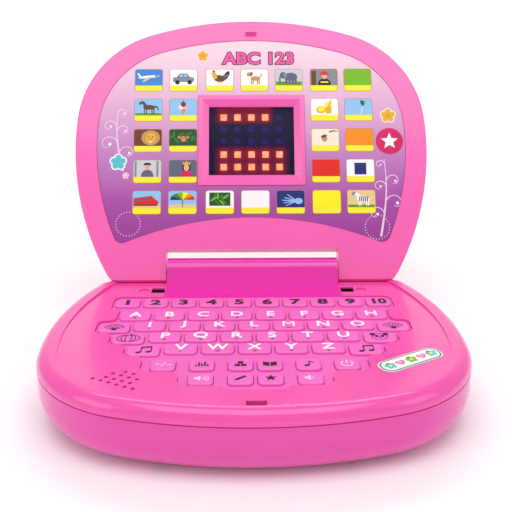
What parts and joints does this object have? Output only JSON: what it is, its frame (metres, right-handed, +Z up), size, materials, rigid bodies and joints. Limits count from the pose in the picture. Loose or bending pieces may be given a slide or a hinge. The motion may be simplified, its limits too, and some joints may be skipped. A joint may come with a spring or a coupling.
{
  "type": "toy laptop computer",
  "caption": "Clamshell toy laptop, open: rounded pink base with press keys, hinge hump, speaker holes and latch slot; hinged lid with picture panel and lamp-dot display.",
  "frame": {"origin": "centre of the open toy's bounding box, on the surface its feet stand on", "axes": "+Z up, +X to the right and +Y to the back as the toy faces its user"},
  "size_m": [0.25, 0.2792, 0.2085],
  "materials": {
    "shell_pink": "glossy moulded hot-pink plastic",
    "base_pink": "glossy moulded pink plastic",
    "key_pink": "satin lighter pink plastic",
    "mat_rubber": "grey silicone keypad mat",
    "board_green": "green circuit board laminate",
    "speaker_black": "black loudspeaker basket and magnet",
    "cell_wrap": "wrapped dry cells, plain",
    "spring_steel": "nickel-plated contact springs",
    "screw_steel": "zinc-plated self-tapping screws",
    "pin_steel": "drawn steel hinge pins",
    "foot_rubber": "soft black rubber",
    "sticker_print": "printed vinyl sticker",
    "panel_print": "printed plastic card, pale at the top and purple below",
    "window_clear": "dark tinted clear acrylic",
    "lamp_clear": "square light-emitting lamps"
  },
  "bodies": {
    "base": {"base_bottom_shell": "base_pink", "base_screws": "screw_steel", "base_top_shell": "shell_pink", "batteries": "cell_wrap", "battery_contacts": "spring_steel", "battery_door": "base_pink", "deck_sticker": "sticker_print", "hinge_pins": "pin_steel", "key_mat": "mat_rubber", "key_plate": "key_pink", "main_board": "board_green", "rubber_feet": "foot_rubber", "speaker": "speaker_black"},
    "lid": {"lid_front_frame": "shell_pink", "lid_back_shell": "shell_pink", "lid_panel": "panel_print", "display_bezel": "shell_pink", "display_window": "window_clear", "led_board": "board_green", "led_lamps": "lamp_clear", "lid_screws": "screw_steel", "lid_latch": "shell_pink"},
    "key_a": {"key_a": "key_pink"},
    "key_b": {"key_b": "key_pink"},
    "key_c": {"key_c": "key_pink"},
    "key_d": {"key_d": "key_pink"},
    "key_e": {"key_e": "key_pink"},
    "key_f": {"key_f": "key_pink"},
    "key_g": {"key_g": "key_pink"},
    "key_h": {"key_h": "key_pink"},
    "key_i": {"key_i": "key_pink"},
    "key_j": {"key_j": "key_pink"},
    "key_k": {"key_k": "key_pink"},
    "key_l": {"key_l": "key_pink"},
    "key_m": {"key_m": "key_pink"},
    "key_mode_letter": {"key_mode_letter": "key_pink"},
    "key_mode_spell": {"key_mode_spell": "key_pink"},
    "key_mode_story": {"key_mode_story": "key_pink"},
    "key_mode_word": {"key_mode_word": "key_pink"},
    "key_n": {"key_n": "key_pink"},
    "key_o": {"key_o": "key_pink"},
    "key_p": {"key_p": "key_pink"},
    "key_power": {"key_power": "key_pink"},
    "key_q": {"key_q": "key_pink"},
    "key_r": {"key_r": "key_pink"},
    "key_s": {"key_s": "key_pink"},
    "key_song": {"key_song": "key_pink"},
    "key_symbols": {"key_symbols": "key_pink"},
    "key_t": {"key_t": "key_pink"},
    "key_tune": {"key_tune": "key_pink"},
    "key_u": {"key_u": "key_pink"},
    "key_v": {"key_v": "key_pink"},
    "key_volume_down": {"key_volume_down": "key_pink"},
    "key_volume_up": {"key_volume_up": "key_pink"},
    "key_w": {"key_w": "key_pink"},
    "key_x": {"key_x": "key_pink"},
    "key_y": {"key_y": "key_pink"},
    "key_z": {"key_z": "key_pink"},
    "number_keys": {"number_keys": "key_pink"},
    "picture_keys": {"picture_keys": "key_pink"}
  },
  "joints": [
    {"name": "lid_hinge", "type": "hinge", "parent": "base", "child": "lid", "pos_m": [0, 0.04385, 0.0475], "axis": [1, 0, 0], "range_deg": [0, 120]},
    {"name": "press_key_a", "type": "slide", "parent": "base", "child": "key_a", "axis": [0, 0, -1], "range_m": [0, 0.0012], "stiffness_N_per_m": 300},
    {"name": "press_key_b", "type": "slide", "parent": "base", "child": "key_b", "axis": [0, 0, -1], "range_m": [0, 0.0012], "stiffness_N_per_m": 300},
    {"name": "press_key_c", "type": "slide", "parent": "base", "child": "key_c", "axis": [0, 0, -1], "range_m": [0, 0.0012], "stiffness_N_per_m": 300},
    {"name": "press_key_d", "type": "slide", "parent": "base", "child": "key_d", "axis": [0, 0, -1], "range_m": [0, 0.0012], "stiffness_N_per_m": 300},
    {"name": "press_key_e", "type": "slide", "parent": "base", "child": "key_e", "axis": [0, 0, -1], "range_m": [0, 0.0012], "stiffness_N_per_m": 300},
    {"name": "press_key_f", "type": "slide", "parent": "base", "child": "key_f", "axis": [0, 0, -1], "range_m": [0, 0.0012], "stiffness_N_per_m": 300},
    {"name": "press_key_g", "type": "slide", "parent": "base", "child": "key_g", "axis": [0, 0, -1], "range_m": [0, 0.0012], "stiffness_N_per_m": 300},
    {"name": "press_key_h", "type": "slide", "parent": "base", "child": "key_h", "axis": [0, 0, -1], "range_m": [0, 0.0012], "stiffness_N_per_m": 300},
    {"name": "press_key_i", "type": "slide", "parent": "base", "child": "key_i", "axis": [0, 0, -1], "range_m": [0, 0.0012], "stiffness_N_per_m": 300},
    {"name": "press_key_j", "type": "slide", "parent": "base", "child": "key_j", "axis": [0, 0, -1], "range_m": [0, 0.0012], "stiffness_N_per_m": 300},
    {"name": "press_key_k", "type": "slide", "parent": "base", "child": "key_k", "axis": [0, 0, -1], "range_m": [0, 0.0012], "stiffness_N_per_m": 300},
    {"name": "press_key_l", "type": "slide", "parent": "base", "child": "key_l", "axis": [0, 0, -1], "range_m": [0, 0.0012], "stiffness_N_per_m": 300},
    {"name": "press_key_m", "type": "slide", "parent": "base", "child": "key_m", "axis": [0, 0, -1], "range_m": [0, 0.0012], "stiffness_N_per_m": 300},
    {"name": "press_key_mode_letter", "type": "slide", "parent": "base", "child": "key_mode_letter", "axis": [0, 0, -1], "range_m": [0, 0.0012], "stiffness_N_per_m": 300},
    {"name": "press_key_mode_spell", "type": "slide", "parent": "base", "child": "key_mode_spell", "axis": [0, 0, -1], "range_m": [0, 0.0012], "stiffness_N_per_m": 300},
    {"name": "press_key_mode_story", "type": "slide", "parent": "base", "child": "key_mode_story", "axis": [0, 0, -1], "range_m": [0, 0.0012], "stiffness_N_per_m": 300},
    {"name": "press_key_mode_word", "type": "slide", "parent": "base", "child": "key_mode_word", "axis": [0, 0, -1], "range_m": [0, 0.0012], "stiffness_N_per_m": 300},
    {"name": "press_key_n", "type": "slide", "parent": "base", "child": "key_n", "axis": [0, 0, -1], "range_m": [0, 0.0012], "stiffness_N_per_m": 300},
    {"name": "press_key_o", "type": "slide", "parent": "base", "child": "key_o", "axis": [0, 0, -1], "range_m": [0, 0.0012], "stiffness_N_per_m": 300},
    {"name": "press_key_p", "type": "slide", "parent": "base", "child": "key_p", "axis": [0, 0, -1], "range_m": [0, 0.0012], "stiffness_N_per_m": 300},
    {"name": "press_key_power", "type": "slide", "parent": "base", "child": "key_power", "axis": [0, 0, -1], "range_m": [0, 0.0012], "stiffness_N_per_m": 300},
    {"name": "press_key_q", "type": "slide", "parent": "base", "child": "key_q", "axis": [0, 0, -1], "range_m": [0, 0.0012], "stiffness_N_per_m": 300},
    {"name": "press_key_r", "type": "slide", "parent": "base", "child": "key_r", "axis": [0, 0, -1], "range_m": [0, 0.0012], "stiffness_N_per_m": 300},
    {"name": "press_key_s", "type": "slide", "parent": "base", "child": "key_s", "axis": [0, 0, -1], "range_m": [0, 0.0012], "stiffness_N_per_m": 300},
    {"name": "press_key_song", "type": "slide", "parent": "base", "child": "key_song", "axis": [0, 0, -1], "range_m": [0, 0.0012], "stiffness_N_per_m": 300},
    {"name": "press_key_symbols", "type": "slide", "parent": "base", "child": "key_symbols", "axis": [0, 0, -1], "range_m": [0, 0.0012], "stiffness_N_per_m": 300},
    {"name": "press_key_t", "type": "slide", "parent": "base", "child": "key_t", "axis": [0, 0, -1], "range_m": [0, 0.0012], "stiffness_N_per_m": 300},
    {"name": "press_key_tune", "type": "slide", "parent": "base", "child": "key_tune", "axis": [0, 0, -1], "range_m": [0, 0.0012], "stiffness_N_per_m": 300},
    {"name": "press_key_u", "type": "slide", "parent": "base", "child": "key_u", "axis": [0, 0, -1], "range_m": [0, 0.0012], "stiffness_N_per_m": 300},
    {"name": "press_key_v", "type": "slide", "parent": "base", "child": "key_v", "axis": [0, 0, -1], "range_m": [0, 0.0012], "stiffness_N_per_m": 300},
    {"name": "press_key_volume_down", "type": "slide", "parent": "base", "child": "key_volume_down", "axis": [0, 0, -1], "range_m": [0, 0.0012], "stiffness_N_per_m": 300},
    {"name": "press_key_volume_up", "type": "slide", "parent": "base", "child": "key_volume_up", "axis": [0, 0, -1], "range_m": [0, 0.0012], "stiffness_N_per_m": 300},
    {"name": "press_key_w", "type": "slide", "parent": "base", "child": "key_w", "axis": [0, 0, -1], "range_m": [0, 0.0012], "stiffness_N_per_m": 300},
    {"name": "press_key_x", "type": "slide", "parent": "base", "child": "key_x", "axis": [0, 0, -1], "range_m": [0, 0.0012], "stiffness_N_per_m": 300},
    {"name": "press_key_y", "type": "slide", "parent": "base", "child": "key_y", "axis": [0, 0, -1], "range_m": [0, 0.0012], "stiffness_N_per_m": 300},
    {"name": "press_key_z", "type": "slide", "parent": "base", "child": "key_z", "axis": [0, 0, -1], "range_m": [0, 0.0012], "stiffness_N_per_m": 300},
    {"name": "press_number_keys", "type": "slide", "parent": "base", "child": "number_keys", "axis": [0, 0, -1], "range_m": [0, 0.0012], "stiffness_N_per_m": 3000},
    {"name": "press_picture_keys", "type": "slide", "parent": "base", "child": "picture_keys", "axis": [0, 0, -1], "range_m": [0, 0.0012], "stiffness_N_per_m": 1800}
  ]
}
